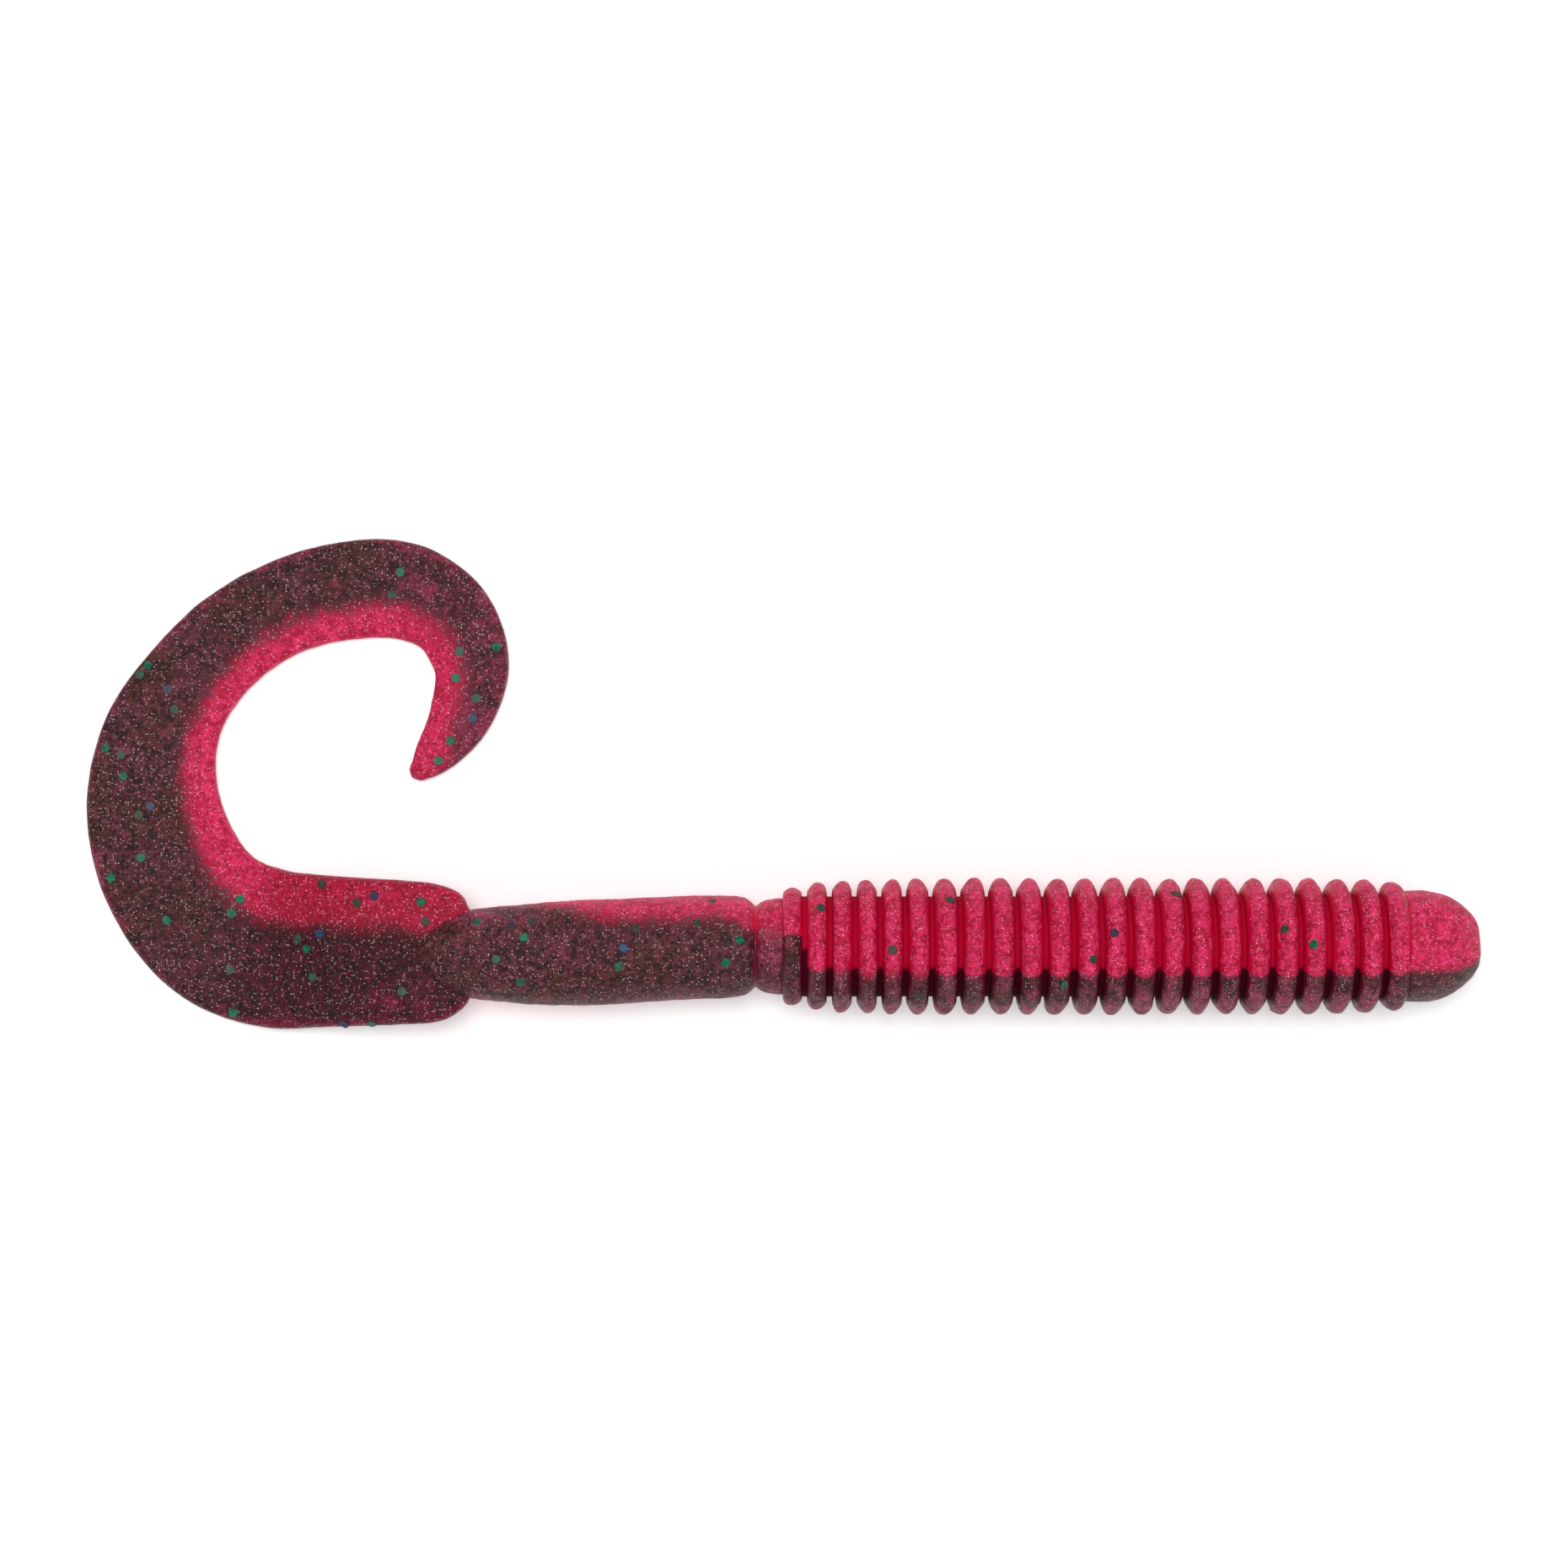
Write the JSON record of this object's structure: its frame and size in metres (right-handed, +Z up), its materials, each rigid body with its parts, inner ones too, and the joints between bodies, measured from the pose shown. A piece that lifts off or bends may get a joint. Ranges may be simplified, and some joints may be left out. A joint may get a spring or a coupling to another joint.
{
  "type": "soft plastic worm",
  "caption": "Soft plastic fishing worm with a ribbed front half, a blunt nose, a smooth waisted middle and a flat tail curled in a hook.",
  "frame": {"origin": "centre of the bounding box in plan, on the plane the lure lies on", "axes": "+X towards the nose along the round body, +Y towards the side the tail curls to, +Z up"},
  "size_m": [0.1241, 0.0439, 0.0121],
  "materials": {
    "body_plastisol": "soft plastisol poured in two shots, hot pink above and dark maroon below, satin and faintly grainy with fine flake",
    "tail_plastisol": "soft plastisol, dark maroon with a pink strip along the inner edge of the tail, satin and grainy with fine flake",
    "green_flake": "glossy metallised polyester hexagon, green",
    "blue_flake": "glossy metallised polyester hexagon, blue violet"
  },
  "bodies": {
    "smooth_body": {"smooth_body": "tail_plastisol"},
    "collar": {"collar": "body_plastisol", "rib_01": "body_plastisol"},
    "rib_02": {"rib_02": "body_plastisol"},
    "rib_03": {"rib_03": "body_plastisol"},
    "rib_04": {"rib_04": "body_plastisol"},
    "rib_05": {"rib_05": "body_plastisol"},
    "rib_06": {"rib_06": "body_plastisol"},
    "rib_07": {"rib_07": "body_plastisol"},
    "rib_08": {"rib_08": "body_plastisol"},
    "rib_09": {"rib_09": "body_plastisol"},
    "rib_10": {"rib_10": "body_plastisol"},
    "rib_11": {"rib_11": "body_plastisol"},
    "rib_12": {"rib_12": "body_plastisol"},
    "rib_13": {"rib_13": "body_plastisol"},
    "rib_14": {"rib_14": "body_plastisol"},
    "rib_15": {"rib_15": "body_plastisol"},
    "rib_16": {"rib_16": "body_plastisol"},
    "rib_17": {"rib_17": "body_plastisol"},
    "rib_18": {"rib_18": "body_plastisol"},
    "rib_19": {"rib_19": "body_plastisol"},
    "rib_20": {"rib_20": "body_plastisol"},
    "rib_21": {"rib_21": "body_plastisol"},
    "rib_22": {"rib_22": "body_plastisol"},
    "nose": {"rib_23": "body_plastisol", "nose": "body_plastisol"},
    "tail_shank": {"tail_shank": "tail_plastisol"},
    "blade_01": {"blade_01": "tail_plastisol"},
    "blade_02": {"blade_02": "tail_plastisol"},
    "blade_03": {"blade_03": "tail_plastisol"},
    "blade_04": {"blade_04": "tail_plastisol"},
    "blade_05": {"blade_05": "tail_plastisol"},
    "blade_06": {"blade_06": "tail_plastisol"},
    "blade_07": {"blade_07": "tail_plastisol"},
    "blade_08": {"blade_08": "tail_plastisol"},
    "blade_09": {"blade_09": "tail_plastisol"},
    "blade_10": {"blade_10": "tail_plastisol"},
    "blade_11": {"blade_11": "tail_plastisol"},
    "blade_12": {"blade_12": "tail_plastisol"}
  },
  "joints": [
    {"name": "waist_bend", "type": "hinge", "parent": "smooth_body", "child": "collar", "pos_m": [-0.002, -0.01435, 0.0061], "axis": [0, 0, 1], "range_deg": [-15, 15], "stiffness_Nm_per_rad": 0.008},
    {"name": "groove_01_side", "type": "hinge", "parent": "collar", "child": "rib_02", "pos_m": [0.0023, -0.01435, 0.0061], "axis": [0, 0, 1], "range_deg": [-5, 5], "stiffness_Nm_per_rad": 0.01},
    {"name": "groove_02_lift", "type": "hinge", "parent": "rib_02", "child": "rib_03", "pos_m": [0.0045, -0.01435, 0.0061], "axis": [0, -1, 0], "range_deg": [-5, 5], "stiffness_Nm_per_rad": 0.01},
    {"name": "groove_03_side", "type": "hinge", "parent": "rib_03", "child": "rib_04", "pos_m": [0.0067, -0.01435, 0.0061], "axis": [0, 0, 1], "range_deg": [-5, 5], "stiffness_Nm_per_rad": 0.01},
    {"name": "groove_04_lift", "type": "hinge", "parent": "rib_04", "child": "rib_05", "pos_m": [0.0089, -0.01435, 0.0061], "axis": [0, -1, 0], "range_deg": [-5, 5], "stiffness_Nm_per_rad": 0.01},
    {"name": "groove_05_side", "type": "hinge", "parent": "rib_05", "child": "rib_06", "pos_m": [0.0111, -0.01435, 0.0061], "axis": [0, 0, 1], "range_deg": [-5, 5], "stiffness_Nm_per_rad": 0.01},
    {"name": "groove_06_lift", "type": "hinge", "parent": "rib_06", "child": "rib_07", "pos_m": [0.01344, -0.01435, 0.0061], "axis": [0, -1, 0], "range_deg": [-5, 5], "stiffness_Nm_per_rad": 0.01},
    {"name": "groove_07_side", "type": "hinge", "parent": "rib_07", "child": "rib_08", "pos_m": [0.01591, -0.01435, 0.0061], "axis": [0, 0, 1], "range_deg": [-5, 5], "stiffness_Nm_per_rad": 0.01},
    {"name": "groove_08_lift", "type": "hinge", "parent": "rib_08", "child": "rib_09", "pos_m": [0.01838, -0.01435, 0.0061], "axis": [0, -1, 0], "range_deg": [-5, 5], "stiffness_Nm_per_rad": 0.01},
    {"name": "groove_09_side", "type": "hinge", "parent": "rib_09", "child": "rib_10", "pos_m": [0.02085, -0.01435, 0.0061], "axis": [0, 0, 1], "range_deg": [-5, 5], "stiffness_Nm_per_rad": 0.01},
    {"name": "groove_10_lift", "type": "hinge", "parent": "rib_10", "child": "rib_11", "pos_m": [0.02332, -0.01435, 0.0061], "axis": [0, -1, 0], "range_deg": [-5, 5], "stiffness_Nm_per_rad": 0.01},
    {"name": "groove_11_side", "type": "hinge", "parent": "rib_11", "child": "rib_12", "pos_m": [0.0258, -0.01435, 0.0061], "axis": [0, 0, 1], "range_deg": [-5, 5], "stiffness_Nm_per_rad": 0.01},
    {"name": "groove_12_lift", "type": "hinge", "parent": "rib_12", "child": "rib_13", "pos_m": [0.02827, -0.01435, 0.0061], "axis": [0, -1, 0], "range_deg": [-5, 5], "stiffness_Nm_per_rad": 0.01},
    {"name": "groove_13_side", "type": "hinge", "parent": "rib_13", "child": "rib_14", "pos_m": [0.03074, -0.01435, 0.0061], "axis": [0, 0, 1], "range_deg": [-5, 5], "stiffness_Nm_per_rad": 0.01},
    {"name": "groove_14_lift", "type": "hinge", "parent": "rib_14", "child": "rib_15", "pos_m": [0.03321, -0.01435, 0.0061], "axis": [0, -1, 0], "range_deg": [-5, 5], "stiffness_Nm_per_rad": 0.01},
    {"name": "groove_15_side", "type": "hinge", "parent": "rib_15", "child": "rib_16", "pos_m": [0.03568, -0.01435, 0.0061], "axis": [0, 0, 1], "range_deg": [-5, 5], "stiffness_Nm_per_rad": 0.01},
    {"name": "groove_16_lift", "type": "hinge", "parent": "rib_16", "child": "rib_17", "pos_m": [0.03816, -0.01435, 0.0061], "axis": [0, -1, 0], "range_deg": [-5, 5], "stiffness_Nm_per_rad": 0.01},
    {"name": "groove_17_side", "type": "hinge", "parent": "rib_17", "child": "rib_18", "pos_m": [0.04063, -0.01435, 0.0061], "axis": [0, 0, 1], "range_deg": [-5, 5], "stiffness_Nm_per_rad": 0.01},
    {"name": "groove_18_lift", "type": "hinge", "parent": "rib_18", "child": "rib_19", "pos_m": [0.0431, -0.01435, 0.0061], "axis": [0, -1, 0], "range_deg": [-5, 5], "stiffness_Nm_per_rad": 0.01},
    {"name": "groove_19_side", "type": "hinge", "parent": "rib_19", "child": "rib_20", "pos_m": [0.04557, -0.01435, 0.0061], "axis": [0, 0, 1], "range_deg": [-5, 5], "stiffness_Nm_per_rad": 0.01},
    {"name": "groove_20_lift", "type": "hinge", "parent": "rib_20", "child": "rib_21", "pos_m": [0.04804, -0.01435, 0.0061], "axis": [0, -1, 0], "range_deg": [-5, 5], "stiffness_Nm_per_rad": 0.01},
    {"name": "groove_21_side", "type": "hinge", "parent": "rib_21", "child": "rib_22", "pos_m": [0.05052, -0.01435, 0.0061], "axis": [0, 0, 1], "range_deg": [-5, 5], "stiffness_Nm_per_rad": 0.01},
    {"name": "groove_22_lift", "type": "hinge", "parent": "rib_22", "child": "nose", "pos_m": [0.05299, -0.01435, 0.0061], "axis": [0, -1, 0], "range_deg": [-5, 5], "stiffness_Nm_per_rad": 0.01},
    {"name": "shank_bend", "type": "hinge", "parent": "smooth_body", "child": "tail_shank", "pos_m": [-0.0226, -0.015, 0.0061], "axis": [0, 0, 1], "range_deg": [-12, 12], "stiffness_Nm_per_rad": 0.006},
    {"name": "tail_flap", "type": "hinge", "parent": "tail_shank", "child": "blade_01", "pos_m": [-0.03423, -0.0149, 0.00556], "axis": [0.0045, 1, 0], "range_deg": [-35, 35], "stiffness_Nm_per_rad": 0.0004},
    {"name": "tail_curl_01", "type": "hinge", "parent": "blade_01", "child": "blade_02", "pos_m": [-0.04138, -0.0149, 0.00287], "axis": [-0.0036, 0, 1], "range_deg": [-4, 9], "stiffness_Nm_per_rad": 0.00269},
    {"name": "tail_wave_02", "type": "hinge", "parent": "blade_02", "child": "blade_03", "pos_m": [-0.04806, -0.01403, 0.00091], "axis": [0.3506, 0.9365, 0], "range_deg": [-10, 10], "stiffness_Nm_per_rad": 0.000044},
    {"name": "tail_curl_03", "type": "hinge", "parent": "blade_03", "child": "blade_04", "pos_m": [-0.05334, -0.00965, 0.00084], "axis": [-0.0022, 0.0032, 1], "range_deg": [-4, 9], "stiffness_Nm_per_rad": 0.00234},
    {"name": "tail_wave_04", "type": "hinge", "parent": "blade_04", "child": "blade_05", "pos_m": [-0.05597, -0.00317, 0.00082], "axis": [0.9836, 0.1805, 0], "range_deg": [-10, 10], "stiffness_Nm_per_rad": 0.000032},
    {"name": "tail_curl_05", "type": "hinge", "parent": "blade_05", "child": "blade_06", "pos_m": [-0.05562, 0.00381, 0.00079], "axis": [0.0011, 0.0037, 1], "range_deg": [-4, 9], "stiffness_Nm_per_rad": 0.00108},
    {"name": "tail_wave_06", "type": "hinge", "parent": "blade_06", "child": "blade_07", "pos_m": [-0.05221, 0.00992, 0.00076], "axis": [0.772, -0.6357, 0], "range_deg": [-10, 10], "stiffness_Nm_per_rad": 0.000018},
    {"name": "tail_curl_07", "type": "hinge", "parent": "blade_07", "child": "blade_08", "pos_m": [-0.04693, 0.01453, 0.00073], "axis": [0.0033, 0.002, 1], "range_deg": [-4, 9], "stiffness_Nm_per_rad": 0.00054},
    {"name": "tail_wave_08", "type": "hinge", "parent": "blade_08", "child": "blade_09", "pos_m": [-0.0404, 0.01708, 0.00071], "axis": [0.2067, -0.9784, 0], "range_deg": [-10, 10], "stiffness_Nm_per_rad": 0.000015},
    {"name": "tail_curl_09", "type": "hinge", "parent": "blade_09", "child": "blade_10", "pos_m": [-0.03342, 0.01728, 0.00068], "axis": [0.0037, -0.0011, 1], "range_deg": [-4, 9], "stiffness_Nm_per_rad": 0.00053},
    {"name": "tail_wave_10", "type": "hinge", "parent": "blade_10", "child": "blade_11", "pos_m": [-0.02821, 0.01292, 0.00065], "axis": [-0.9222, -0.3866, 0], "range_deg": [-10, 10], "stiffness_Nm_per_rad": 0.00001},
    {"name": "tail_curl_11", "type": "hinge", "parent": "blade_11", "child": "blade_12", "pos_m": [-0.02861, 0.00612, 0.00063], "axis": [-0.0015, -0.0035, 1], "range_deg": [-4, 9], "stiffness_Nm_per_rad": 0.00013}
  ],
  "couplings": [
    {"joint": "groove_03_side", "follows": "groove_01_side", "ratio": 1},
    {"joint": "groove_04_lift", "follows": "groove_02_lift", "ratio": 1},
    {"joint": "groove_05_side", "follows": "groove_01_side", "ratio": 1},
    {"joint": "groove_06_lift", "follows": "groove_02_lift", "ratio": 1},
    {"joint": "groove_07_side", "follows": "groove_01_side", "ratio": 1},
    {"joint": "groove_08_lift", "follows": "groove_02_lift", "ratio": 1},
    {"joint": "groove_09_side", "follows": "groove_01_side", "ratio": 1},
    {"joint": "groove_10_lift", "follows": "groove_02_lift", "ratio": 1},
    {"joint": "groove_11_side", "follows": "groove_01_side", "ratio": 1},
    {"joint": "groove_12_lift", "follows": "groove_02_lift", "ratio": 1},
    {"joint": "groove_13_side", "follows": "groove_01_side", "ratio": 1},
    {"joint": "groove_14_lift", "follows": "groove_02_lift", "ratio": 1},
    {"joint": "groove_15_side", "follows": "groove_01_side", "ratio": 1},
    {"joint": "groove_16_lift", "follows": "groove_02_lift", "ratio": 1},
    {"joint": "groove_17_side", "follows": "groove_01_side", "ratio": 1},
    {"joint": "groove_18_lift", "follows": "groove_02_lift", "ratio": 1},
    {"joint": "groove_19_side", "follows": "groove_01_side", "ratio": 1},
    {"joint": "groove_20_lift", "follows": "groove_02_lift", "ratio": 1},
    {"joint": "groove_21_side", "follows": "groove_01_side", "ratio": 1},
    {"joint": "groove_22_lift", "follows": "groove_02_lift", "ratio": 1},
    {"joint": "tail_curl_03", "follows": "tail_curl_01", "ratio": 1},
    {"joint": "tail_wave_04", "follows": "tail_wave_02", "ratio": 1},
    {"joint": "tail_curl_05", "follows": "tail_curl_01", "ratio": 1},
    {"joint": "tail_wave_06", "follows": "tail_wave_02", "ratio": 1},
    {"joint": "tail_curl_07", "follows": "tail_curl_01", "ratio": 1},
    {"joint": "tail_wave_08", "follows": "tail_wave_02", "ratio": 1},
    {"joint": "tail_curl_09", "follows": "tail_curl_01", "ratio": 1},
    {"joint": "tail_wave_10", "follows": "tail_wave_02", "ratio": 1},
    {"joint": "tail_curl_11", "follows": "tail_curl_01", "ratio": 1}
  ]
}
